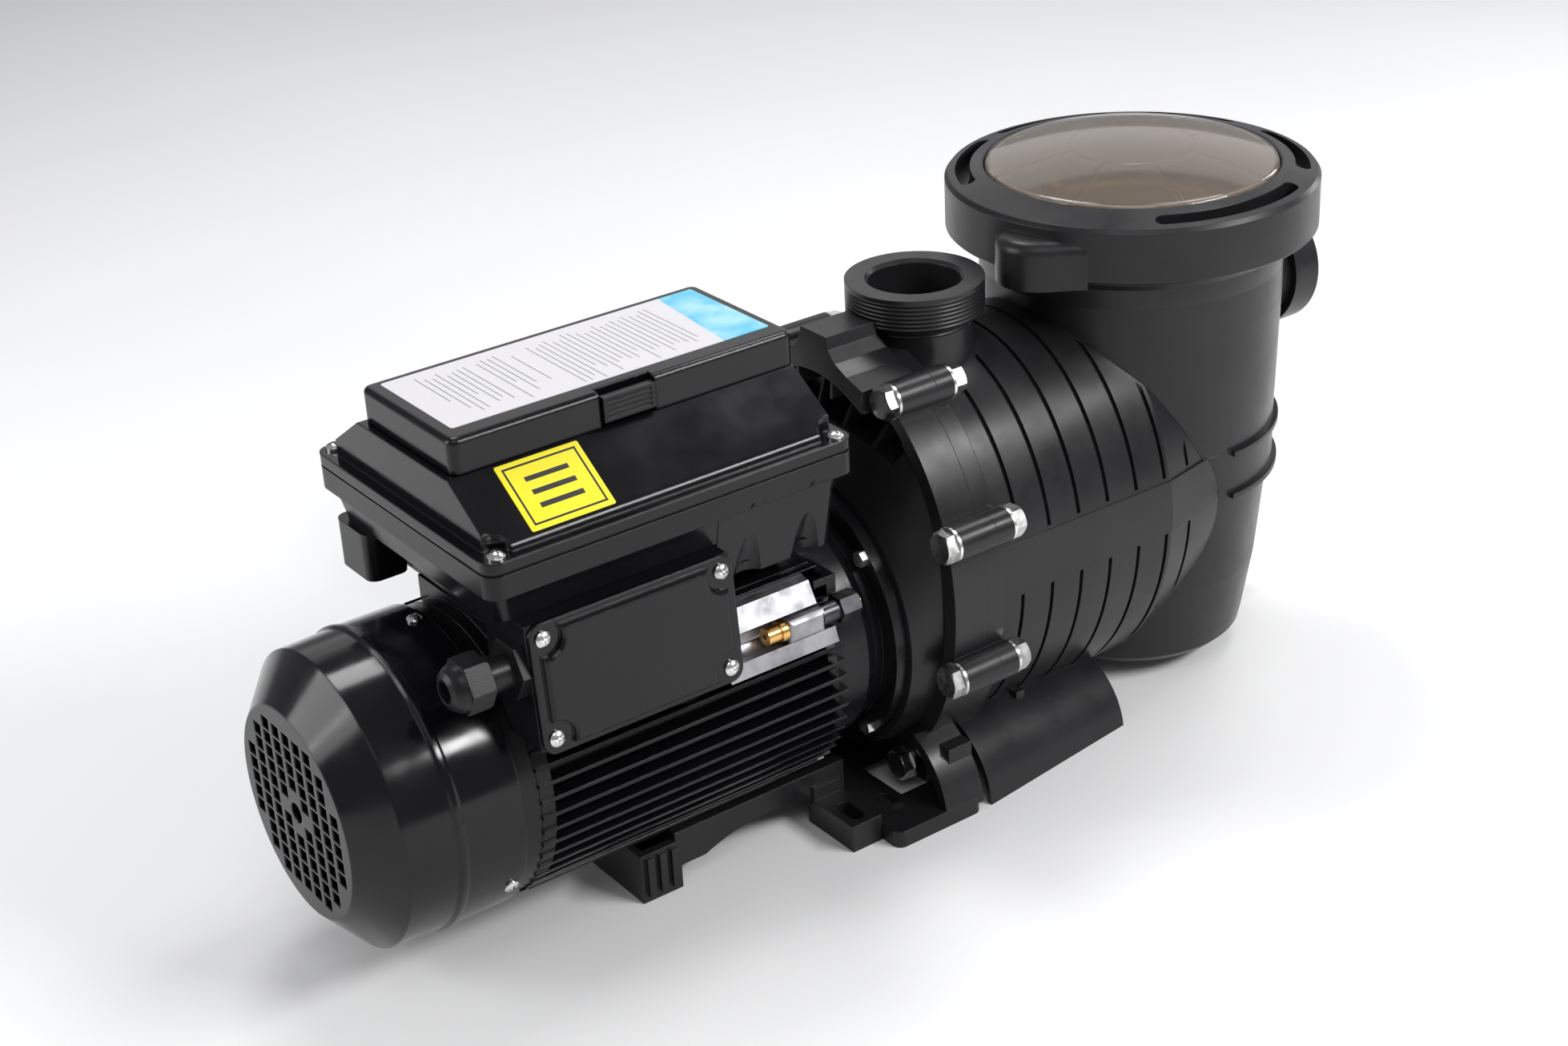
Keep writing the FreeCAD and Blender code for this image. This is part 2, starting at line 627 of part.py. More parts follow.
def controller_cover():
    """Sloping roof with scooped screw corners and a sunk keypad under the lid."""
    low = CASE_SPLIT_Z + 1
    flange = rounded_box(CASE_X[0], CASE_X[1], -CASE_HALF_Y, CASE_HALF_Y, low, low + 6, 8)
    roof = moved(polygon(roof_section(0)).extrude(V(ROOF_X[1] - ROOF_X[0], 0, 0)), ROOF_X[0])
    roof = long_edge_fillet(roof, ROOF_EAVE_Z, EAVE_ROUND)
    hollow = moved(polygon(roof_section(ROOF_WALL)).extrude(V(ROOF_X[1] - ROOF_X[0] - 6, 0, 0)), ROOF_X[0] + 3)
    scoops = corner_posts(low + 6, 280, 8.5)
    walls = [post.common(roof) for post in corner_posts(low, 280, 11)]
    shell = joined([flange, roof])
    shell = shell.cut(hollow)
    shell = joined([shell] + walls)
    tray = box(KEYPAD_X[0] - 3, KEYPAD_X[1] + 3, -38, 38, KEYPAD_Z - 3, ROOF_TOP_Z)
    shell = joined([shell, tray.common(roof)])
    pocket = box(KEYPAD_X[0], KEYPAD_X[1], -KEYPAD_HALF_Y, KEYPAD_HALF_Y, KEYPAD_Z, ROOF_TOP_Z + 1)
    keys = [rod_z(255, 275, BUTTON_R + TOUCH_GAP, x, BUTTON_Y) for x in BUTTON_X]
    window = box(-222, -136, -14, 24, 255, 275)
    shell = shell.cut(group(scoops + [pocket, window] + keys + corner_posts(230, 250, 2.2)))
    knuckles = []
    for x0, x1 in ((-215, -195), (-112, -92)):
        web = box(x0, x1, HINGE_Y - 2.0, HINGE_Y + 2.6, 262, HINGE_Z)
        knuckles.append(rod_x(x0, x1, 2.6, HINGE_Y, HINGE_Z).fuse(web))
    shell = joined([shell] + knuckles)
    return shell.cut(rod_x(-260, -50, 1.25, HINGE_Y, HINGE_Z))


def controller_screws():
    screws = []
    for x in CASE_SCREW_X:
        for side in (-1, 1):
            screws.append(moved(pan_screw_z(4.5, 3.4, 1.9, 20.0), x, side * CASE_SCREW_Y, CASE_SPLIT_Z + 7))
    return group(screws)


def circuit_board():
    posts = [rod_z(212, 222, 3, x, y) for x in (-225, -85) for y in (-52, 52)]
    board = box(-236, -74, -60, 60, 222, 223.6)
    return joined([board] + posts)


def board_components():
    """Capacitors, relay, power module and its heat sink on the board."""
    cans = [rod_z(223.6, 250, 9, -220 + 22 * i, 40) for i in range(3)]
    relay = box(-150, -122, 30, 50, 223.6, 240)
    choke = tube_z(223.6, 234, 14, 6, -100, 35)
    module = box(-190, -130, -50, -20, 223.6, 229)
    sink = [box(-112, -82, -52 + 7 * i, -50 + 7 * i, 223.6, 244) for i in range(6)]
    sink.append(box(-112, -82, -52, -15, 223.6, 226))
    return group(cans + [relay, choke, module, joined(sink)])


def keypad_panel():
    plate = rounded_box(KEYPAD_X[0] + 0.5, KEYPAD_X[1] - 0.5, -34.5, 34.5, KEYPAD_Z, KEYPAD_Z + 1.5, 3)
    keys = [rod_z(260, 270, BUTTON_R + TOUCH_GAP, x, BUTTON_Y) for x in BUTTON_X]
    return plate.cut(group(keys + [box(-219, -139, -11, 21, 260, 275)]))


def display_window():
    return box(-219, -139, -11, 21, KEYPAD_Z - 1.5, KEYPAD_Z + 1.5)


def button(i):
    """Domed key with a retaining flange under the tray."""
    x = BUTTON_X[i]
    dome = Part.makeSphere(14, V(x, BUTTON_Y, 270.5 - 14))
    stem = rod_z(260.5, 271, BUTTON_R, x, BUTTON_Y).common(dome)
    return stem.fuse(rod_z(259.0, 261.0, BUTTON_R + 1.5, x, BUTTON_Y))


def keypad_lid():
    """Flip lid: a shallow tray upside down, hinged along its back edge."""
    shell = rounded_box(LID_X[0], LID_X[1], -ROOF_TOP_Y, ROOF_TOP_Y, LID_Z[0], LID_Z[1], 5)
    top = [e for e in shell.Edges if all(abs(v.Point.z - LID_Z[1]) < 1e-6 for v in e.Vertexes)]
    shell = shell.makeFillet(3.0, top)
    hollow = box(LID_X[0] + 3, LID_X[1] - 3, -ROOF_TOP_Y + 3, ROOF_TOP_Y - 3, LID_Z[0] - 1, LID_Z[1] - 2.5)
    shell = shell.cut(hollow)
    pocket_wall = box(-173, -136, -41, -35.5, LID_Z[0], LID_Z[1] - 2)
    shell = joined([shell, pocket_wall])
    catch_pocket = box(-170.5, -138.5, -50, -37.5, 260, LID_Z[1] + 1)
    shell = shell.cut(catch_pocket)
    knuckles = []
    for x0, x1 in ((-236, -215.3), (-194.7, -174), (-133, -112.3), (-91.7, -71)):
        web = box(x0, x1, ROOF_TOP_Y - 1.0, HINGE_Y, HINGE_Z - 1.2, HINGE_Z + 2.6)
        knuckles.append(rod_x(x0, x1, 2.6, HINGE_Y, HINGE_Z).fuse(web))
    shell = joined([shell] + knuckles)
    return shell.cut(rod_x(-260, -50, 1.2, HINGE_Y, HINGE_Z))


def lid_hinge_pins():
    return group([rod_x(-236, -174, 1.2, HINGE_Y, HINGE_Z), rod_x(-133, -71, 1.2, HINGE_Y, HINGE_Z)])


def lid_latch():
    """Ribbed thumb catch in the front edge of the lid."""
    body = box(-169.5, -139.5, -46.0, -41.5, 273.0, 286.0)
    grooves = [box(-167, -142, -46.5, -45.2, 275.0 + 2.6 * i, 276.2 + 2.6 * i) for i in range(4)]
    hook = box(-160, -149, -41.5, -39.5, 276.0, 282.0)
    return without(joined([body, hook]), grooves)


def rating_label():
    return rounded_box(-244, -61, -32, 38, LID_Z[1], LID_Z[1] + 0.3, 1.5)


def caution_plate():
    """Plain yellow plate lying on the front slope of the roof."""
    run = ROOF_EAVE_Y - ROOF_TOP_Y
    rise = ROOF_TOP_Z - ROOF_EAVE_Z
    slope = math.degrees(math.atan2(rise, run))
    plate = rounded_box(-232, -186, 3, 41.5, 0, 0.4, 1)
    return moved(turn(plate, slope, V(0, 0, 0), X_AXIS), 0, -ROOF_EAVE_Y, ROOF_EAVE_Z)


# ---------------------------------------------------------------- wet end

def bolt_places():
    return [(side * y, WET_Z + z) for y, z in BOLT_OFFSETS for side in (-1, 1)]


def mirrored(shape):
    return shape.mirror(V(0, 0, 0), Y_AXIS)


def seal_cone(x_shift, inset):
    """Flared wall from the motor hub out to the oval rim."""
    hub = HUB_R - inset
    small = oval_wire(MOTOR_FLANGE_X[1] + x_shift, hub, hub + 0.2, SHAFT_Z)
    return Part.makeLoft([small, oval_wire(10 + x_shift, 90 - inset, 114 - inset)], True)


def rim_pockets():
    """Hollows between the flare and the top of the rim, parted by thin radial ribs."""
    ring = oval_x(-13, 13, FLANGE_A - 9, FLANGE_B - 7)
    wedge = polygon([V(-13, 0, SHAFT_Z), V(-13, -82, SHAFT_Z + 160), V(-13, 82, SHAFT_Z + 160)])
    ring = ring.common(wedge.extrude(V(26, 0, 0)))
    ribs = []
    for angle in (-18.75, -6.25, 6.25, 18.75):
        rib = box(-14, 14, -0.9, 0.9, SHAFT_Z + 90, SHAFT_Z + 160)
        ribs.append(turn(rib, angle, V(0, 0, SHAFT_Z), X_AXIS))
    return ring.cut(rod_x(-14, 14, 109)).cut(group(ribs))


def wing_section(x, top, mid, low, wall):
    """Closed upright outline of a curved strip: its outer skin and its inner face."""
    outer = Part.Arc(V(x, *top), V(x, *mid), V(x, *low)).toShape()
    inner_top = (top[0], top[1] - wall)
    inner_mid = (mid[0] + 0.7 * wall, mid[1] - 0.7 * wall)
    inner_low = (low[0] + wall, low[1])
    inner = Part.Arc(V(x, *inner_low), V(x, *inner_mid), V(x, *inner_top)).toShape()
    ground = Part.makeLine(V(x, *low), V(x, *inner_low))
    upper = Part.makeLine(V(x, *inner_top), V(x, *top))
    return Part.Wire([outer, ground, inner, upper])


def saddle():
    """Curved strip on each side that carries the seal plate down to its foot."""
    x0, x1 = SADDLE_X
    outline = wing_section(x0, (-72, 46), (-91, 30), (-99.8, 6), SADDLE_WALL)
    strip = Part.Face(outline).extrude(V(x1 - x0, 0, 0))
    wall = box(2, x1, -90, 90, 5, 40)
    return joined([strip, mirrored(strip), wall])


def top_lug():
    """Lug over the rim whose flanks sweep down into it."""
    half = [(11, 262), (12.5, 255), (18, 249), (28, 244.5), (42, 240), (42, 228)]
    points = [V(-11, -y, z) for y, z in half] + [V(-11, y, z) for y, z in half[::-1]]
    lug = polygon(points).extrude(V(SEAM_X + 11, 0, 0))
    return lug.cut(rod_z(200, 280, PORT_COLLAR_R + 0.6, PORT_X))


def seal_plate():
    """Oval cover behind the impeller: flared wall, rim with pockets, top lug and a broad foot."""
    rim = oval_ring(FLANGE_REAR_X, SEAM_X, FLANGE_A, FLANGE_B, 9)
    web = oval_x(10, 19, FLANGE_A - 5, FLANGE_B - 5)
    boss = rod_x(-2, 20, SEAL_BORE_R + 8)
    bosses = [rod_x(BOSS_X[0], SEAM_X, BOSS_R, y, z) for y, z in bolt_places()]
    foot = rounded_box(FOOT_X[0], FOOT_X[1], -FOOT_HALF_Y, FOOT_HALF_Y, 0, FOOT_THICKNESS, 5)
    flare = joined([rim, web, seal_cone(0, 0), top_lug(), foot, saddle()] + bosses)
    shell = flare.cut(group([rim_pockets(), rod_x(-16, 13, HUB_R - 8)]))
    lugs = around_shaft(rod_x(-14.5, 12, 6, 0, SHAFT_Z + 73), 4, 45)
    shell = joined([shell, boss] + lugs)
    recess = oval_x(SEAM_X - 5, SEAM_X + 1, FLANGE_A - 16, FLANGE_B - 16)
    seal_ring = oval_ring(SEAM_X - 3, SEAM_X + 1, 91.0, 115.5, 3.5)
    seat = rod_x(12, SEAM_X, SEAL_BORE_R)
    centre = rod_x(-3, SEAM_X, SHAFT_R + 1.5)
    slots = [slot_z(-25, side * FOOT_SLOT_Y, -1, FOOT_THICKNESS + 1) for side in (-1, 1)]
    holes = [rod_x(-5, SEAM_X + 1, BOLT_R + 0.5, y, z) for y, z in bolt_places()]
    spots = [rod_x(-12, BOSS_X[0], SPOT_FACE_R, y, z) for y, z in bolt_places()]
    threads = around_shaft(rod_x(-15, -5.9, 2.5, 0, SHAFT_Z + 73), 4, 45)
    hollow_foot = box(FOOT_X[0] + 26, 12, -70, 70, -1, 24)
    tools = [recess, seal_ring, seat, centre] + slots + holes + spots + threads
    return shell.cut(group(tools)).cut(hollow_foot.cut(oval_x(-30, 30, FLANGE_A, FLANGE_B)))


def slot_z(x, y, z0, z1):
    """Foot slot, 9 wide and 19 long, running along Y."""
    ends = [rod_z(z0, z1, 4.5, x, y + dy) for dy in (-5, 5)]
    return joined(ends + [box(x - 4.5, x + 4.5, y - 5, y + 5, z0, z1)])


def housing_o_ring():
    return oval_ring(SEAM_X - 3, SEAM_X, 91.0, 115.5, 3.5)


def mechanical_seal_seat():
    return tube_x(12, 20, SEAL_BORE_R, SHAFT_R + 1.5)


def mechanical_seal_head():
    return turned_x([(20.6, SHAFT_R), (20.6, 14.5), (26, 14.5), (26, 16), (36, 16), (36, SHAFT_R)])


def impeller_blade():
    """Backward-curved blade between the two shrouds."""
    inner_r, outer_r, thickness = 22.0, 54.0, 2.5
    outer_side = []
    inner_side = []
    for i in range(9):
        t = i / 8
        r = inner_r + (outer_r - inner_r) * t
        a = math.radians(75 * t)
        outer_side.append(V(43, r * math.cos(a), SHAFT_Z + r * math.sin(a)))
        inner_side.append(V(43, (r - thickness) * math.cos(a), SHAFT_Z + (r - thickness) * math.sin(a)))
    return polygon(outer_side + inner_side[::-1]).extrude(V(10, 0, 0))


def impeller():
    back = turned_x([(37, SHAFT_R), (37, 15), (40, 17), (40, 55), (43, 55), (43, 20), (62, 13), (62, SHAFT_R)])
    front = turned_x([(53, 26), (53, 55), (56, 55), (58, 29), (66, 28.5), (66, 25)])
    return joined([back, front] + around_shaft(impeller_blade(), 6))


def diffuser():
    """Fixed bowl round the impeller, with its suction tube in the partition."""
    bowl = turned_x([
        (38, 60), (38, 64), (70, 64), (73, 60), (73, 34), (80, 30), (124, 30), (124, 26.5), (76, 26.5),
        (69, 30), (69, 60)])
    windows = box(44, 62, -9, 9, SHAFT_Z + 56, SHAFT_Z + 70)
    return without(bowl, around_shaft(windows, 6))


def pot_profile(offset):
    """Radius and height of the pot's wall, shrunk by offset."""
    return [(71 - offset, 24), (77 - offset, 61), (82.5 - offset, 119), (85 - offset, 152),
            (87 - offset, 225), (87 - offset, 246)]


def barrel_cavity():
    a = BARREL_A - BARREL_WALL
    b = BARREL_B - BARREL_WALL
    back = oval_x(PARTITION_X[1], BARREL_END_X, a, b)
    return joined([back, oval_loft(BARREL_END_X, a, b, 205, 70, 90)])


def pot_outside():
    """Strainer pot with its suction port and drain boss, before it is hollowed."""
    pot = turned_z([(0, 10), (58, 10), (65, 12.5), (69.5, 17)] + pot_profile(0)
                   + [(89, 258), (COLLAR_R, 262), (COLLAR_R, POT_TOP_Z), (0, POT_TOP_Z)])
    suction = joined([rod_x(POT_X, SUCTION_X - 4, PORT_NECK_R + 2, 0, SUCTION_Z),
                      rod_x(SUCTION_X - 19, SUCTION_X, PORT_COLLAR_R, 0, SUCTION_Z)])
    drain_boss = rod_x(POT_X + 60, POT_X + 77, 14, 0, 30)
    lips = [tube_z(z, z + 3, 88.0, 78) for z in (BAND_Z[0], BAND_Z[1] - 3)]
    front = box(POT_X, 320, -100, 100, 100, 180)
    band = tube_z(BAND_Z[0], BAND_Z[1], BAND_R, 78)
    return joined([pot, suction, drain_boss, band] + [lip.common(front) for lip in lips])


def strainer_pot():
    """Round pot of the housing: holds the basket and takes the suction pipe."""
    return pot_outside().cut(housing_hollows())


def strainer_housing():
    """Volute barrel, flange and discharge port, with the wings of the foot."""
    barrel = oval_x(SEAM_X, BARREL_END_X, BARREL_A, BARREL_B)
    nose = oval_loft(BARREL_END_X, BARREL_A, BARREL_B, NOSE_END_X, NOSE_A, NOSE_B)
    flange = oval_x(SEAM_X, FLANGE_FRONT_X, FLANGE_A, FLANGE_B)
    bosses = [rod_x(SEAM_X, BOSS_X[1], BOSS_R, y, z) for y, z in bolt_places()]
    neck = rod_z(WET_Z, 260, PORT_NECK_R, PORT_X)
    collar = rod_z(257.5, DISCHARGE_Z, PORT_COLLAR_R, PORT_X)
    pot = pot_outside()
    solid = joined([barrel, nose, flange, neck, collar] + bosses).cut(pot)
    spots = group([rod_x(BOSS_X[1], BOSS_X[1] + 14, SPOT_FACE_R, y, z) for y, z in bolt_places()])
    solid = solid.cut(housing_hollows()).cut(group(rib_grooves())).cut(spots)
    wings = wing_foot().cut(oval_x(SEAM_X, 170, BARREL_A - 2, BARREL_B - 2)).cut(spots)
    return joined([solid, side_band().cut(pot), wings])


def side_band():
    """Smooth band along both sides of the barrel."""
    height = box(FLANGE_FRONT_X, 320, -100, 100, *BAND_Z)
    skin = joined([oval_x(FLANGE_FRONT_X, BARREL_END_X, BARREL_A + 1, BARREL_B + 1),
                   oval_loft(BARREL_END_X, BARREL_A + 1, BARREL_B + 1, NOSE_END_X, 80.5, NOSE_B + 1)])
    core = joined([oval_x(FLANGE_FRONT_X - 1, BARREL_END_X, BARREL_A - 3, BARREL_B - 3),
                   oval_loft(BARREL_END_X, BARREL_A - 3, BARREL_B - 3, NOSE_END_X + 1, 76, NOSE_B - 3)])
    return skin.common(height).cut(core)


def rib_grooves():
    """Shallow arcs across the barrel, above and below the band."""
    tools = []
    for i in range(GROOVE_COUNT):
        x = GROOVE_FIRST_X + i * GROOVE_PITCH
        beyond = max(0.0, (x - BARREL_END_X) / (NOSE_END_X - BARREL_END_X))
        a = BARREL_A - beyond * (BARREL_A - NOSE_A)
        b = BARREL_B - beyond * (BARREL_B - NOSE_B)
        ring = oval_x(x, x + GROOVE_WIDTH, a + 6, b + 6).cut(
            oval_x(x, x + GROOVE_WIDTH, a - GROOVE_DEPTH, b - GROOVE_DEPTH))
        keep = box(x - 1, x + 5, -120, 120, BAND_Z[0] - 2, BAND_Z[1] + 2)
        pot_clear = group([rod_z(0, 300, 84.0), rod_z(150, 300, 88.0), rod_z(229, 300, 95.0)])
        neck_clear = rod_z(0, 300, PORT_NECK_R + 3, PORT_X)
        foot_clear = box(x - 1, x + 5, -120, 120, 0, 36)
        tools.append(ring.cut(group([keep])).cut(pot_clear).cut(neck_clear).cut(foot_clear))
    return tools


def wing_foot():
    """Cradle under the barrel: a tapering wing on each side, tied by cross walls."""
    front = wing_section(SEAM_X, (-64, 42), (-86, 29.5), (-99, 0), WING_WALL)
    back = wing_section(WING_END_X, (-55, 34), (-75.5, 21), (-85, 0), WING_WALL)
    wing = Part.makeLoft([front, back], True, True)
    walls = [box(70, 76, -68, 68, 0, 40), box(SEAM_X, WING_END_X, -57, 57, 24, 36)]
    return joined([wing, mirrored(wing)] + walls)


def housing_hollows():
    a = BARREL_A - BARREL_WALL
    b = BARREL_B - BARREL_WALL
    chamber = oval_x(SEAM_X - 1, PARTITION_X[0], a, b)
    pot = turned_z([(0, POT_FLOOR_Z), (52, POT_FLOOR_Z), (62, 22), (65, 26), (71, 61), (75.5, 119),
                    (77, 160), (77, LEDGE_Z), (81, LEDGE_Z), (81, POT_TOP_Z + 1), (0, POT_TOP_Z + 1)])
    eye = rod_x(PARTITION_X[0] - 1, PARTITION_X[1] + 1, 30.0)
    groove = tube_z(POT_TOP_Z - 3, POT_TOP_Z + 1, 88.5, 84.5)
    discharge = joined([rod_z(DISCHARGE_Z - SOCKET_DEPTH, DISCHARGE_Z + 1, SOCKET_R, PORT_X),
                        rod_z(200, DISCHARGE_Z, WATERWAY_R, PORT_X),
                        Part.makeCone(SOCKET_R, SOCKET_R + 2, 2.01, V(PORT_X, 0, DISCHARGE_Z - 2), Z_AXIS)])
    suction = joined([rod_x(SUCTION_X - SOCKET_DEPTH, SUCTION_X + 1, SOCKET_R, 0, SUCTION_Z),
                      rod_x(POT_X + 60, SUCTION_X, WATERWAY_R, 0, SUCTION_Z),
                      Part.makeCone(SOCKET_R, SOCKET_R + 2, 2.01, V(SUCTION_X - 2, 0, SUCTION_Z), X_AXIS)])
    drain = rod_x(POT_X + 50, POT_X + 80, 8.0, 0, 30)
    bolts = [rod_x(SEAM_X - 1, BOSS_X[1] + 1, BOLT_R + 0.5, y, z) for y, z in bolt_places()]
    return group([chamber, barrel_cavity(), pot, eye, groove, discharge, suction, drain] + bolts)


def housing_bolts():
    bolts = []
    for y, z in bolt_places():
        x = BOSS_X[0] - 1.8
        head = hex_x(x - 6.4, x, BOLT_FLATS, y, z)
        head = head.common(turned_x([(x - 6.4, 0), (x - 6.4, 7.6), (x - 5.4, 9.4), (x, 9.4), (x, 0)], y, z))
        bolts.append(head.fuse(rod_x(x, BOSS_X[1] + 11.5, BOLT_R, y, z)))
    return group(bolts)


def bolt_washers():
    rings = []
    for y, z in bolt_places():
        rings.append(tube_x(BOSS_X[0] - 1.8, BOSS_X[0], 9.8, BOLT_R, y, z))
        rings.append(tube_x(BOSS_X[1], BOSS_X[1] + 1.8, 9.8, BOLT_R, y, z))
    return group(rings)


def housing_nuts():
    nuts = []
    for y, z in bolt_places():
        x = BOSS_X[1] + 1.8
        nut = hex_x(x, x + 8, BOLT_FLATS, y, z)
        nut = nut.common(turned_x([(x, 0), (x, 9.4), (x + 6.8, 9.4), (x + 8, 7.8), (x + 8, 0)], y, z))
        nuts.append(nut.cut(rod_x(x - 1, x + 9, BOLT_R, y, z)))
    return group(nuts)


# ---------------------------------------------------------------- strainer

def strainer_basket():
    """Slotted basket hung from a flange on the pot's ledge, with an inlet hole."""
    shell = turned_z([(0, 40), (60, 40), (70, LEDGE_Z), (80, LEDGE_Z), (80, 261), (67.5, 261),
                      (57.5, 42.5), (0, 42.5)])
    slots = []
    for k in range(18):
        if k == 0:
            continue
        for z in (60, 105, 150, 195):
            slot = box(POT_X + 50, POT_X + 76, -3.5, 3.5, z, z + 34)
            slots.append(turn(slot, 20 * k, V(POT_X, 0, 0), Z_AXIS))
    inlet = rod_x(POT_X + 40, POT_X + 80, 28, 0, SUCTION_Z)
    drains = [rod_z(38, 44, 4, POT_X + 36 * math.cos(a), 36 * math.sin(a))
              for a in [math.radians(45 * k) for k in range(8)]]
    lug = box(POT_X - 5, POT_X + 5, 58, 71, 256, 270)
    eye = rod_y(50, 67, 1.8, POT_X, 266)
    lugs = [lug.cut(eye), lug.cut(eye).mirror(V(0, 0, 0), Y_AXIS)]
    return joined([without(shell, slots + [inlet] + drains)] + lugs)


def basket_handle():
    """Bail folded flat over the basket, pivoted on two pegs."""
    r = 54.0
    wire = 2.6
    arc = Part.makeTorus(r, wire, V(POT_X, 0, 266), Z_AXIS).common(
        box(POT_X, POT_X + 70, -70, 70, 255, 275))
    pegs = [rod_y(52, 66, 1.7, POT_X, 266), rod_y(-66, -52, 1.7, POT_X, 266)]
    return joined([arc] + pegs)


def lid_o_ring():
    return tube_z(POT_TOP_Z - 3, POT_TOP_Z, 88.5, 84.5)


def dome_face(drop, foot):
    """Half section of the shallow dome and its upright skirt, shrunk by drop."""
    top = DOME_TOP_Z - drop
    base = DOME_BASE_Z - drop
    r = DOME_R - drop
    rise = top - base
    sphere_r = (r * r + rise * rise) / (2 * rise)
    half = math.asin(r / sphere_r) / 2
    mid = V(POT_X + sphere_r * math.sin(half), 0, top - sphere_r * (1 - math.cos(half)))
    arc = Part.Arc(V(POT_X, 0, top), mid, V(POT_X + r, 0, base)).toShape()
    side = Part.makeLine(V(POT_X + r, 0, base), V(POT_X + r, 0, foot))
    floor = Part.makeLine(V(POT_X + r, 0, foot), V(POT_X, 0, foot))
    axis = Part.makeLine(V(POT_X, 0, foot), V(POT_X, 0, top))
    return Part.Face(Part.Wire([arc, side, floor, axis]))


def strainer_lid():
    """Clear domed lid with a flange, a centre disc and stiffening spokes beneath."""
    axis_point = V(POT_X, 0, 0)
    outer = dome_face(0.0, LID_FLANGE_Z[0]).revolve(axis_point, Z_AXIS, 360)
    inner = dome_face(DOME_WALL, 280.0).revolve(axis_point, Z_AXIS, 360)
    flange = rod_z(LID_FLANGE_Z[0], LID_FLANGE_Z[1], 90.5)
    rim = [e for e in outer.Edges if abs(e.CenterOfMass.z - DOME_BASE_Z) < 1e-6 and e.BoundBox.XLength > 100]
    shell = joined([outer.makeFillet(3.0, rim), flange]).cut(inner)
    ring = tube_z(295, DOME_TOP_Z, HUB_DISC_R + 1, HUB_DISC_R - 1)
    spoke = box(POT_X + HUB_DISC_R, POT_X + 84, -1, 1, 288, DOME_TOP_Z)
    spokes = [turn(spoke, 22.5 + 45 * k, axis_point, Z_AXIS) for k in range(8)]
    deep = dome_face(DOME_WALL + 2.5, 270.0).revolve(axis_point, Z_AXIS, 360)
    stiff = joined([ring] + spokes).common(inner).cut(deep)
    return joined([shell, stiff])


def grip_lug():
    """Rounded thumb lug on the side of the ring, with a tail that runs into the rim."""
    outline = [(-13, 104), (-10, 111), (-6, 117.5), (0, LUG_REACH), (6, 118.5), (11, 113), (15, 108.8),
               (19, 106.2)]
    points = []
    for angle, r in outline:
        a = math.radians(angle)
        points.append(V(POT_X + r * math.cos(a), r * math.sin(a), LUG_Z[0]))
    curve = Part.BSplineCurve()
    curve.interpolate(points)
    inner = [V(POT_X + 98 * math.cos(math.radians(a)), 98 * math.sin(math.radians(a)), LUG_Z[0])
             for a in (19, -13)]
    sides = [Part.makeLine(points[-1], inner[0]), Part.makeLine(inner[0], inner[1]),
             Part.makeLine(inner[1], points[0])]
    lug = Part.Face(Part.Wire([curve.toShape()] + sides)).extrude(V(0, 0, LUG_Z[1] - LUG_Z[0]))
    top = [e for e in lug.Edges if abs(e.CenterOfMass.z - LUG_Z[1]) < 1e-6
           and e.Curve.TypeId != "Part::GeomLine"]
    return lug.makeFillet(7.0, top)


def lock_ring():
    """Screwed ring over the lid, with arc slots in its top and two gripping lugs."""
    ring = turned_z([(COLLAR_R + TOUCH_GAP, RING_Z[0]), (RING_R - 1, RING_Z[0]), (RING_R, RING_Z[0] + 1),
                     (RING_R, RING_Z[1] - 2.5), (RING_R - 2, RING_Z[1]), (RING_OPENING_R + 1.2, RING_CROWN_Z),
                     (RING_OPENING_R, RING_CROWN_Z - 1), (RING_OPENING_R, RING_PLATE_Z),
                     (COLLAR_R + TOUCH_GAP, RING_PLATE_Z)])
    slots = []
    for start, end in ((109, 157), (55, 100), (8, 42), (-50, -6), (-126, -66)):
        slots.append(turned_slot(95.7, 4.2, start + 2.5, end - start - 5))
    lugs = [turn(grip_lug(), LUG_ANGLE_DEG + side, V(POT_X, 0, 0), Z_AXIS) for side in (0, 180)]
    body = joined([ring] + [lug.cut(rod_z(255, 310, RING_R - 2)) for lug in lugs])
    return without(body, slots)


def turned_slot(r, half_width, start, sweep):
    """Arc-shaped pocket in the top of the ring, with round ends."""
    z0 = RING_Z[1] - 9
    z1 = RING_CROWN_Z + 1
    face = polygon([V(POT_X + r - half_width, 0, z0), V(POT_X + r + half_width, 0, z0),
                    V(POT_X + r + half_width, 0, z1), V(POT_X + r - half_width, 0, z1)])
    arc = turn(face.revolve(V(POT_X, 0, 0), Z_AXIS, sweep), start, V(POT_X, 0, 0), Z_AXIS)
    ends = []
    for a in (start, start + sweep):
        rad = math.radians(a)
        ends.append(rod_z(z0, z1, half_width, POT_X + r * math.cos(rad), r * math.sin(rad)))
    return joined([arc] + ends)


def drain_plug():
    head = hex_x(POT_X + 79.6, POT_X + 87, 19, 0, 30)
    grip = box(POT_X + 87, POT_X + 96, -3, 3, 21, 39)
    return joined([head, grip, rod_x(POT_X + 62, POT_X + 80, 7.6, 0, 30)])


def drain_o_ring():
    return tube_x(POT_X + 77, POT_X + 79.6, 11, 7.7, 0, 30)


# ---------------------------------------------------------------- base

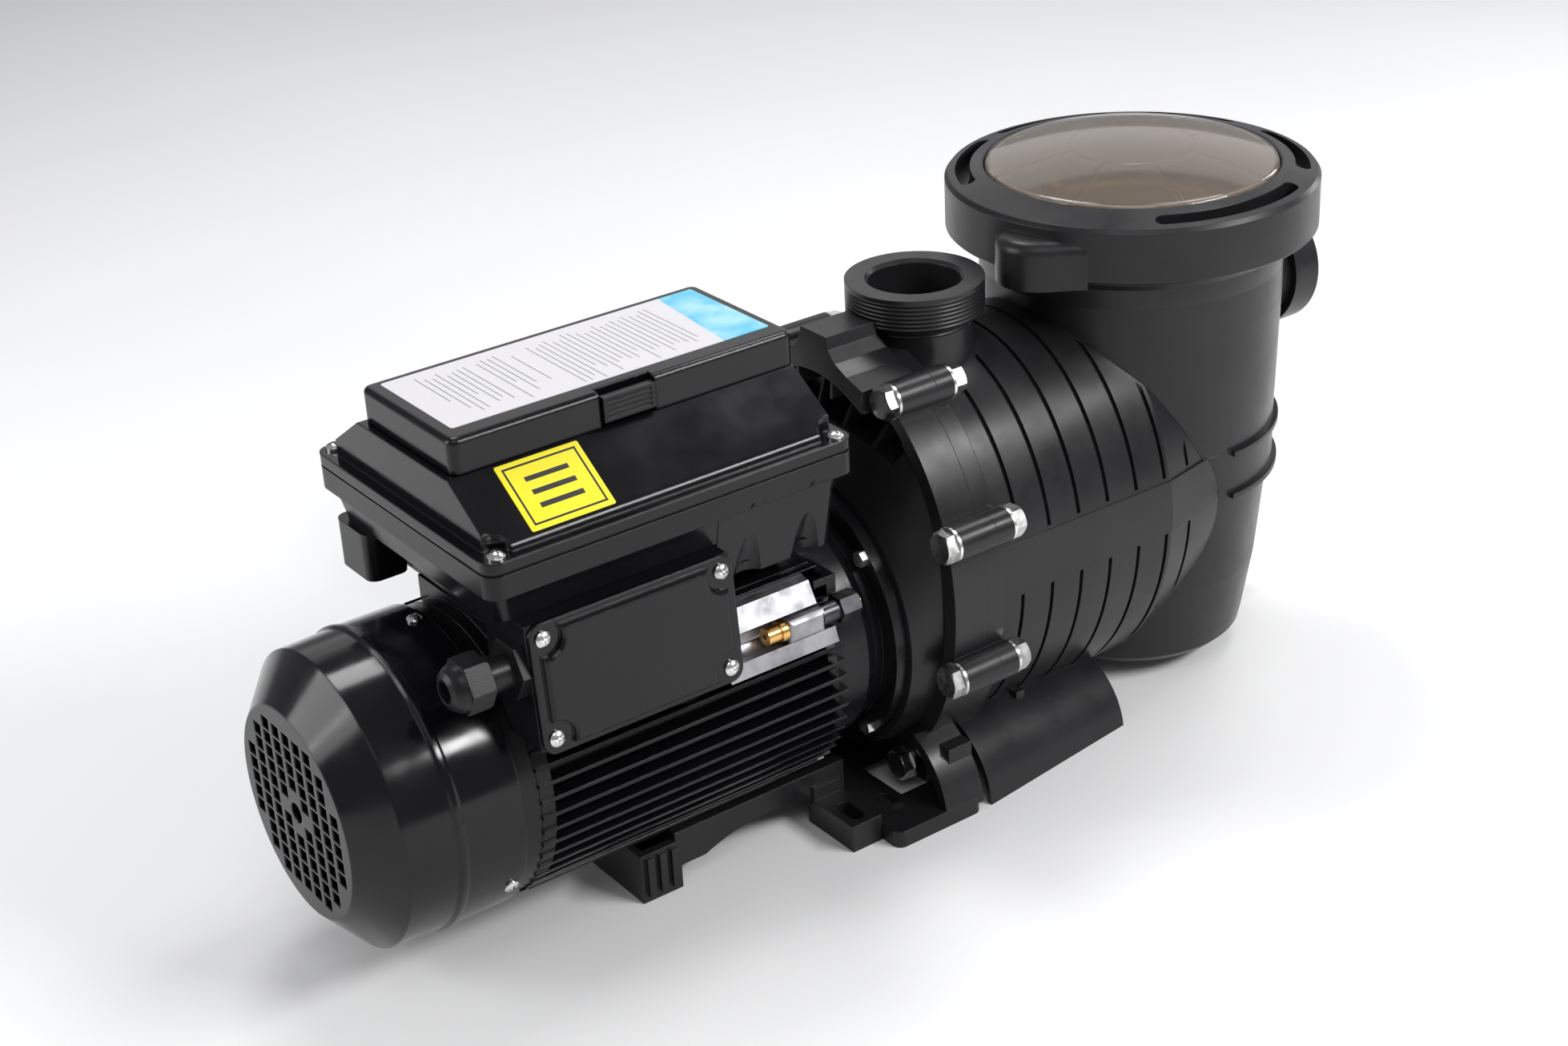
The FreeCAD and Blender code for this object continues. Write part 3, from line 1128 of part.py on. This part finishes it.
def motor_base():
    """Moulded cradle: ribbed cross bar under the motor, two arched arms and slotted ears."""
    bar = box(-175, -150, -52, 52, 0, CRADLE_TOP_Z)
    pockets = [box(-171, -154, y0, y0 + 27, 6, 40) for y0 in (-47, -14, 20)]
    ribs = [box(x, x + 4, -54.5, -52, 4, CRADLE_TOP_Z - 2) for x in (-172, -164.5, -157)]
    ribs += [box(x, x + 4, 52, 54.5, 4, CRADLE_TOP_Z - 2) for x in (-172, -164.5, -157)]
    arms = []
    for side in (-1, 1):
        arm = box(-152, -40, side * 46 - 4, side * 46 + 4, 12, 33)
        arch = rod_y(-60, 60, 90, -96, -70)
        arms.append(arm.cut(arch))
    plate = box(-62, -44, -52, 52, 10, 24)
    ears = [box(-62, FOOT_X[0] - 0.2, s * 66 - 20, s * 66 + 20, 0, 16) for s in (-1, 1)]
    body = joined([bar.cut(group(pockets))] + ribs + arms + [plate] + ears)
    slots = [slot_z(-53, s * FOOT_SLOT_Y, -1, 30) for s in (-1, 1)]
    return body.cut(group(slots))


def motor_cushion():
    """Rubber saddle between the base and the motor frame."""
    pad = box(-175, -150, -40, 40, CRADLE_TOP_Z, 38).cut(box(-171, -154, -36, 36, 25, 31))
    return pad.cut(rod_x(-180, -145, FRAME_R + 0.05))


PARTS = {
    "fan_cover": fan_cover,
    "fan_cover_screws": fan_cover_screws,
    "cooling_fan": cooling_fan,
    "rear_end_shield": rear_end_shield,
    "motor_frame": motor_frame,
    "stator_core": stator_core,
    "stator_windings": stator_windings,
    "rotor_core": rotor_core,
    "shaft": shaft,
    "bearings": lambda: group([bearing(*REAR_BEARING), bearing(*FRONT_BEARING)]),
    "front_end_shield": front_end_shield,
    "flange_screws": flange_screws,
    "terminal_box": terminal_box,
    "terminal_box_gasket": terminal_box_gasket,
    "terminal_box_cover": terminal_box_cover,
    "terminal_box_screws": terminal_box_screws,
    "gland_locknut": gland_locknut,
    "gland_body": gland_body,
    "gland_seal": gland_seal,
    "gland_cap_nut": gland_cap_nut,
    "earth_bracket": earth_bracket,
    "earth_clamp": earth_clamp,
    "earth_screw": earth_screw,
    "earth_nut": earth_nut,
    "controller_housing": controller_housing,
    "controller_gasket": controller_gasket,
    "controller_cover": controller_cover,
    "controller_screws": controller_screws,
    "circuit_board": circuit_board,
    "board_components": board_components,
    "keypad_panel": keypad_panel,
    "display_window": display_window,
    "button_down": lambda: button(0),
    "button_up": lambda: button(1),
    "button_run": lambda: button(2),
    "keypad_lid": keypad_lid,
    "lid_hinge_pins": lid_hinge_pins,
    "lid_latch": lid_latch,
    "rating_label": rating_label,
    "caution_plate": caution_plate,
    "seal_plate": seal_plate,
    "housing_o_ring": housing_o_ring,
    "mechanical_seal_seat": mechanical_seal_seat,
    "mechanical_seal_head": mechanical_seal_head,
    "impeller": impeller,
    "diffuser": diffuser,
    "strainer_housing": strainer_housing,
    "strainer_pot": strainer_pot,
    "housing_bolts": housing_bolts,
    "bolt_washers": bolt_washers,
    "housing_nuts": housing_nuts,
    "strainer_basket": strainer_basket,
    "basket_handle": basket_handle,
    "lid_o_ring": lid_o_ring,
    "strainer_lid": strainer_lid,
    "lock_ring": lock_ring,
    "drain_plug": drain_plug,
    "drain_o_ring": drain_o_ring,
    "motor_base": motor_base,
    "motor_cushion": motor_cushion,
}


def write_all():
    os.makedirs("parts", exist_ok=True)
    for name, make in PARTS.items():
        shape = make()
        shape.exportStep(os.path.join("parts", name + ".step"))
        solids = len(shape.Solids)
        size = shape.BoundBox
        print(f"{name:22s} solids {solids:2d} valid {shape.isValid()} volume {shape.Volume / 1000:8.1f} cm3"
              f"  x {size.XMin:.1f}..{size.XMax:.1f} y {size.YMin:.1f}..{size.YMax:.1f}"
              f" z {size.ZMin:.1f}..{size.ZMax:.1f}")


write_all()
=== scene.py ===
"""Pool pump: looks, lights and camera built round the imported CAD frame."""
import json
import math

import bmesh
import bpy
from mathutils import Matrix, Vector

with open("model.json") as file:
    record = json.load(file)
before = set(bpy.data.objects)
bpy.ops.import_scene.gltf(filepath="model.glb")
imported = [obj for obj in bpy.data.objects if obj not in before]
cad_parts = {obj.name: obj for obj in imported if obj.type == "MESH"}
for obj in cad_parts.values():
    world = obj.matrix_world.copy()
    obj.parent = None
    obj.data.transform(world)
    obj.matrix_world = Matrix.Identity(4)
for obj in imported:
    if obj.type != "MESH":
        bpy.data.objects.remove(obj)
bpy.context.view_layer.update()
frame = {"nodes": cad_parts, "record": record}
NODES = frame["nodes"]

# Camera, worked out for a photograph 1958 pixels wide
CAMERA_PLACE = Vector((-0.7242, -0.9779, 0.7559))
CAMERA_YAW = math.radians(54.86)
CAMERA_PITCH = math.radians(26.58)
CAMERA_ROLL = math.radians(-3.06)
CAMERA_LENS = 56.8
CAMERA_SENSOR = 36.0

# Surroundings: dim and slightly blue
SKY_COLOUR = (0.95, 0.96, 1.0)
SKY_STRENGTH = 0.28

# Outlet collar, where the union thread is drawn
COLLAR_X = 0.0585
COLLAR_REACH = (0.030, 0.0386)
COLLAR_Z = (0.2505, 0.2725)
THREAD_PITCH = 0.0023

# Rating label: rows of plain rules, then a blue end with a slanted edge
FILM = (0.66, 0.645, 0.675)
RULE_INK = (0.06, 0.06, 0.07)
RULE_PITCH = 0.0036
RULE_STROKE = (0.40, 0.56)      # part of the pitch that is inked
RULE_ROWS_X = (-0.233, -0.094)
RULE_START_Y = (0.024, 0.032)
RULE_END_Y = (-0.031, -0.004)
RULE_SKIPPED = 0.16             # share of the rows left empty
BLUE_FROM_X = -0.0855
BLUE_SLANT = -0.10
BLUE_DEEP = (0.12, 0.50, 0.72)
BLUE_PALE = (0.34, 0.66, 0.80)

# Caution plate: its outline, and the shades of its film
PLATE_X = (-0.232, -0.186)
PLATE_Y = (-0.0777, -0.0455)
YELLOW = (0.90, 0.78, 0.01)
YELLOW_DULL = (0.86, 0.74, 0.02)
PLATE_INK = (0.02, 0.02, 0.02)

# Its border and bars: limits along and across, as shares of the plate
BORDER_OUTSIDE = ((0.06, 0.94), (0.07, 0.93))
BORDER_INSIDE = ((0.085, 0.915), (0.10, 0.90))
BAR_AREA = ((0.24, 0.76), (0.26, 0.74))
BAR_ROWS = 5.0                  # rows across the plate, three of them inside the bar area
BAR_STROKE = (0.35, 0.72)       # part of a row that is inked

SEED_STEP = 13.7                # keeps the white noise of one seed away from the next
FLOOR_HALF_SIZE = 6.0


# ---------------------------------------------------------------- materials

class Paint:
    """A node material built step by step round one Principled shader."""

    def __init__(self, name, colour, rough, metal=0.0, **sockets):
        self.material = bpy.data.materials.new(name)
        self.material.use_nodes = True
        self.tree = self.material.node_tree
        self.shader = self.tree.nodes["Principled BSDF"]
        self.shader.inputs["Base Color"].default_value = (*colour, 1)
        self.shader.inputs["Roughness"].default_value = rough
        self.shader.inputs["Metallic"].default_value = metal
        for key, value in sockets.items():
            self.shader.inputs[key.replace("_", " ")].default_value = value
        self.place = self.add("ShaderNodeTexCoord").outputs["Object"]
        self.normal = None

    def soften(self, radius, samples=4):
        """Worn, slightly rounded look along every sharp edge."""
        node = self.add("ShaderNodeBevel", samples=samples)
        node.inputs["Radius"].default_value = radius
        self.normal = node.outputs["Normal"]
        self.link(self.normal, self.shader.inputs["Normal"])
        return self

    def add(self, kind, **settings):
        node = self.tree.nodes.new(kind)
        for key, value in settings.items():
            setattr(node, key, value)
        return node

    def link(self, source, target):
        self.tree.links.new(source, target)

    def stretched(self, scale):
        mapping = self.add("ShaderNodeMapping")
        mapping.inputs["Scale"].default_value = scale
        self.link(self.place, mapping.inputs["Vector"])
        return mapping.outputs["Vector"]

    def noise(self, scale, detail=4.0, rough=0.5, vector=None):
        node = self.add("ShaderNodeTexNoise")
        node.inputs["Scale"].default_value = scale
        node.inputs["Detail"].default_value = detail
        node.inputs["Roughness"].default_value = rough
        self.link(vector or self.place, node.inputs["Vector"])
        return node.outputs["Fac"]

    def remap(self, value, low, high, new_low, new_high):
        node = self.add("ShaderNodeMapRange")
        names = ("From Min", "From Max", "To Min", "To Max")
        for key, number in zip(names, (low, high, new_low, new_high)):
            node.inputs[key].default_value = number
        self.link(value, node.inputs["Value"])
        return node.outputs["Result"]

    def mix(self, factor, first, second):
        """Colour mix; first and second are colours or sockets."""
        node = self.add("ShaderNodeMix", data_type="RGBA")
        self.link(factor, node.inputs["Factor"])
        for socket, value in ((node.inputs[6], first), (node.inputs[7], second)):
            if isinstance(value, tuple):
                socket.default_value = (*value, 1)
            else:
                self.link(value, socket)
        return node.outputs[2]

    def coordinates(self):
        node = self.add("ShaderNodeSeparateXYZ")
        self.link(self.place, node.inputs["Vector"])
        return node.outputs["X"], node.outputs["Y"], node.outputs["Z"]

    def math(self, operation, first, second=None):
        """One maths step; each input is a number or a socket."""
        node = self.add("ShaderNodeMath", operation=operation)
        for socket, value in zip(node.inputs, (first, second)):
            if isinstance(value, (int, float)):
                socket.default_value = value
            elif value is not None:
                self.link(value, socket)
        return node.outputs["Value"]

    def both(self, first, second):
        return self.math("MULTIPLY", first, second)

    def between(self, value, low, high):
        return self.both(self.math("GREATER_THAN", value, low), self.math("LESS_THAN", value, high))

    def white_noise(self, value, seed):
        node = self.add("ShaderNodeTexWhiteNoise", noise_dimensions="1D")
        self.link(self.math("ADD", value, seed * SEED_STEP), node.inputs["W"])
        return node.outputs["Value"]

    def mottle(self, first, second, scale, low=0.35, high=0.65):
        """Soft drift of the base colour between two shades."""
        factor = self.remap(self.noise(scale), low, high, 0, 1)
        self.link(self.mix(factor, first, second), self.shader.inputs["Base Color"])
        return self

    def cloudy_gloss(self, scale, low, high, detail=5.0):
        """Roughness that drifts, as handling and moulding leave it."""
        value = self.remap(self.noise(scale, detail, 0.6), 0.3, 0.7, low, high)
        self.link(value, self.shader.inputs["Roughness"])
        return self

    def bump(self, height, distance, strength=1.0):
        node = self.add("ShaderNodeBump")
        node.inputs["Strength"].default_value = strength
        node.inputs["Distance"].default_value = distance
        self.link(height, node.inputs["Height"])
        if self.normal is not None:
            self.link(self.normal, node.inputs["Normal"])
        self.normal = node.outputs["Normal"]
        self.link(self.normal, self.shader.inputs["Normal"])
        return self

    def grain(self, scale, distance, strength=1.0, detail=3.0):
        return self.bump(self.noise(scale, detail), distance, strength)


def moulded_paint(name, colour, rough, gloss=0.3, grain_scale=900, grain=0.00004, drift=0.06,
                  edge=0.0007):
    """Moulded plastic: rounded edges, fine grain, slow flow waviness and uneven gloss."""
    paint = Paint(name, colour, rough, Specular_IOR_Level=gloss)
    paint.soften(edge)
    lighter = tuple(c * 1.35 + 0.001 for c in colour)
    paint.mottle(colour, lighter, 14)
    paint.cloudy_gloss(35, rough - drift, rough + drift)
    paint.grain(grain_scale, grain, 0.7)
    paint.grain(22, 0.0003, 0.12)
    return paint


def moulded(*settings):
    """The finished material of moulded_paint, with the same settings."""
    return moulded_paint(*settings).material


def wet_end_material():
    """Satin moulding with the fine turned lines of the union thread round the outlet collar."""
    paint = moulded_paint("wet_black", (0.009, 0.009, 0.010), 0.34, 0.36, 900, 0.00003, 0.07)
    x, y, z = paint.coordinates()
    across = paint.math("SUBTRACT", x, COLLAR_X)
    reach = paint.math("SQRT", paint.math("ADD", paint.both(across, across), paint.both(y, y)))
    on_collar = paint.both(paint.between(reach, *COLLAR_REACH), paint.between(z, *COLLAR_Z))
    wave = paint.math("SINE", paint.math("MULTIPLY", z, 2 * math.pi / THREAD_PITCH))
    paint.bump(paint.both(wave, on_collar), 0.0005, 0.6)
    return paint.material


def metal(name, colour, rough, brushed=(1, 1, 1), scale=300):
    """Bare metal: patchy tone, uneven polish and fine marks drawn out along brushed."""
    paint = Paint(name, colour, rough, 1.0)
    darker = tuple(c * 0.72 for c in colour)
    paint.mottle(colour, darker, 60)
    paint.cloudy_gloss(90, rough * 0.7, rough * 1.5)
    paint.bump(paint.noise(scale, 3, vector=paint.stretched(brushed)), 0.00004, 0.5)
    return paint.material


def clear_lid_material():
    """Smoky see-through moulding, slightly brown."""
    paint = Paint("smoky_clear", (0.58, 0.50, 0.42), 0.08, Transmission_Weight=0.86, IOR=1.45)
    paint.cloudy_gloss(40, 0.05, 0.12)
    paint.grain(30, 0.0004, 0.08)
    return paint.material


def rating_label_material():
    """White film with rows of plain rules in the place of print, and a pale blue end."""
    paint = Paint("label_white", FILM, 0.36, Specular_IOR_Level=0.3)
    x, y, _ = paint.coordinates()
    row = paint.math("DIVIDE", x, RULE_PITCH)
    within = paint.math("FRACT", row)
    number = paint.math("FLOOR", row)
    stroke = paint.between(within, *RULE_STROKE)
    start = paint.remap(paint.white_noise(number, 3.0), 0, 1, *RULE_START_Y)
    end = paint.remap(paint.white_noise(number, 8.0), 0, 1, *RULE_END_Y)
    length = paint.both(paint.math("LESS_THAN", y, start), paint.math("GREATER_THAN", y, end))
    kept = paint.math("GREATER_THAN", paint.white_noise(number, 5.0), RULE_SKIPPED)
    printed = paint.both(paint.both(stroke, length), paint.both(kept, paint.between(x, *RULE_ROWS_X)))
    faint = paint.remap(paint.noise(2200, 2), 0.3, 0.6, 0.55, 1.0)
    inked = paint.mix(paint.both(printed, faint), FILM, RULE_INK)
    cloud = paint.mix(paint.remap(paint.noise(38, 3), 0.45, 0.62, 0, 1), BLUE_DEEP, BLUE_PALE)
    slanted = paint.math("ADD", x, paint.math("MULTIPLY", y, BLUE_SLANT))
    blue = paint.math("GREATER_THAN", slanted, BLUE_FROM_X)
    paint.link(paint.mix(blue, inked, cloud), paint.shader.inputs["Base Color"])
    paint.cloudy_gloss(60, 0.26, 0.4)
    paint.grain(900, 0.00001, 0.4)
    return paint.material


def caution_material():
    """Yellow film with a thin border and three plain bars."""
    paint = Paint("label_yellow", YELLOW, 0.32)
    x, y, _ = paint.coordinates()
    u = paint.remap(x, *PLATE_X, 0, 1)
    v = paint.remap(y, *PLATE_Y, 0, 1)

    def area(along, across):
        return paint.both(paint.between(u, *along), paint.between(v, *across))

    border = paint.math("SUBTRACT", area(*BORDER_OUTSIDE), area(*BORDER_INSIDE))
    within = paint.math("FRACT", paint.math("MULTIPLY", v, BAR_ROWS))
    bars = paint.both(area(*BAR_AREA), paint.between(within, *BAR_STROKE))
    ink = paint.math("MAXIMUM", border, bars)
    film = paint.mix(paint.remap(paint.noise(30), 0.35, 0.65, 0, 1), YELLOW, YELLOW_DULL)
    paint.link(paint.mix(ink, film, PLATE_INK), paint.shader.inputs["Base Color"])
    paint.grain(900, 0.00001, 0.4)
    return paint.material


MATERIALS = {
    "cover_black": moulded("cover_black", (0.003, 0.003, 0.004), 0.15, 0.34, 1500, 0.000008, 0.05, 0.0016),
    "case_black": moulded("case_black", (0.005, 0.005, 0.006), 0.22, 0.30, 1200, 0.00002, 0.06),
    "motor_black": moulded("motor_black", (0.003, 0.003, 0.004), 0.20, 0.28, 700, 0.00002, 0.06),
    "shield_metal": moulded("shield_black", (0.004, 0.004, 0.005), 0.30, 0.30, 500, 0.00005, 0.08),
    "wet_black": wet_end_material(),
    "inner_plastic": moulded("inner_plastic", (0.02, 0.02, 0.022), 0.5),
    "basket_tan": moulded("basket_tan", (0.42, 0.27, 0.13), 0.45),
    "zinc": metal("zinc", (0.82, 0.82, 0.80), 0.22),
    "steel": metal("steel", (0.40, 0.40, 0.42), 0.42, (0.1, 1, 1)),
    "lamination": metal("lamination", (0.3, 0.3, 0.32), 0.45, (8, 0.2, 0.2)),
    "copper": metal("copper", (0.65, 0.28, 0.12), 0.35, (0.3, 3, 3)),
    "brass": metal("brass", (0.85, 0.50, 0.16), 0.25),
    "dark_nut": metal("dark_nut", (0.09, 0.09, 0.10), 0.32),
    "gland_plastic": moulded("gland_plastic", (0.007, 0.007, 0.008), 0.34, 0.3),
    "rubber": moulded("rubber", (0.012, 0.012, 0.012), 0.62),
    "seal_faces": metal("seal_faces", (0.2, 0.2, 0.22), 0.3),
    "board_green": moulded("board_green", (0.02, 0.16, 0.06), 0.4),
    "components": moulded("components", (0.03, 0.03, 0.035), 0.45),
    "window": moulded("window", (0.012, 0.02, 0.018), 0.14, 0.5),
    "button_grey": moulded("button_grey", (0.42, 0.42, 0.43), 0.55),
    "label_white": rating_label_material(),
    "label_yellow": caution_material(),
    "lid_clear": clear_lid_material(),
}

for entry in frame["record"]["subparts"]:
    node = NODES[entry["node"]]
    node.data.materials.clear()
    node.data.materials.append(MATERIALS[entry["material_slot"]])


# ---------------------------------------------------------------- stage

def make_stage():
    """Plain pale floor that fills the photograph's view; lower views from behind show its far corner."""
    mesh = bpy.data.meshes.new("floor")
    maker = bmesh.new()
    bmesh.ops.create_grid(maker, x_segments=1, y_segments=1, size=FLOOR_HALF_SIZE)
    maker.to_mesh(mesh)
    maker.free()
    floor = bpy.data.objects.new("floor", mesh)
    bpy.context.scene.collection.objects.link(floor)
    paint = Paint("floor_pale", (0.86, 0.86, 0.86), 0.7)
    paint.mottle((0.86, 0.86, 0.86), (0.84, 0.84, 0.845), 2)
    mesh.materials.append(paint.material)


def area_light(name, place, target, size, power):
    """Rectangular softbox at place, turned to face target."""
    data = bpy.data.lights.new(name, "AREA")
    data.shape = "RECTANGLE"
    data.size, data.size_y = size
    data.energy = power
    light = bpy.data.objects.new(name, data)
    light.location = place
    light.rotation_euler = (Vector(target) - Vector(place)).to_track_quat("-Z", "Y").to_euler()
    bpy.context.scene.collection.objects.link(light)


def make_lights():
    """Dim surroundings, and softboxes placed for the highlights of the photograph."""
    world = bpy.data.worlds.new("studio")
    world.use_nodes = True
    world.node_tree.nodes["Background"].inputs["Color"].default_value = (*SKY_COLOUR, 1)
    world.node_tree.nodes["Background"].inputs["Strength"].default_value = SKY_STRENGTH
    bpy.context.scene.world = world
    area_light("top", (0.2, 0.9, 2.0), (0.0, 0, 0.1), (0.6, 0.6), 12)
    area_light("left", (-1.75, 0.35, 1.0), (-0.25, 0, 0.1), (0.35, 0.9), 4)
    area_light("cone", (-1.50, 0.75, 0.65), (-0.3, 0, 0.15), (0.8, 0.8), 9)
    area_light("back", (1.25, 1.6, 1.15), (0.15, 0, 0.3), (2.6, 1.1), 5.5)
    area_light("eave", (0.72, -1.32, 1.22), (-0.15, -0.08, 0.24), (0.9, 0.22), 24)
    area_light("barrel", (1.0, 0.18, 1.75), (0.1, 0, 0.2), (0.5, 0.5), 8)
    area_light("right", (1.9, 0.1, 0.7), (0.2, 0, 0.15), (0.3, 1.0), 6)
    area_light("camera_side", (-0.9, -1.2, 2.0), (0.0, -0.2, 0.0), (1.2, 1.2), 8)


def make_camera():
    """Camera at the angle of the photograph, with its slight roll."""
    forward = Vector((math.cos(CAMERA_YAW) * math.cos(CAMERA_PITCH),
                      math.sin(CAMERA_YAW) * math.cos(CAMERA_PITCH), -math.sin(CAMERA_PITCH)))
    level = Vector((math.sin(CAMERA_YAW), -math.cos(CAMERA_YAW), 0))
    upright = level.cross(forward)
    right = math.cos(CAMERA_ROLL) * level + math.sin(CAMERA_ROLL) * upright
    up = -math.sin(CAMERA_ROLL) * level + math.cos(CAMERA_ROLL) * upright
    data = bpy.data.cameras.new("camera")
    data.lens = CAMERA_LENS
    data.sensor_width = CAMERA_SENSOR
    camera = bpy.data.objects.new("camera", data)
    turned = Matrix((right, up, -forward)).transposed().to_4x4()
    camera.matrix_world = Matrix.Translation(CAMERA_PLACE) @ turned
    bpy.context.scene.collection.objects.link(camera)
    bpy.context.scene.camera = camera


make_stage()
make_lights()
make_camera()
bpy.context.scene.view_settings.view_transform = "Standard"
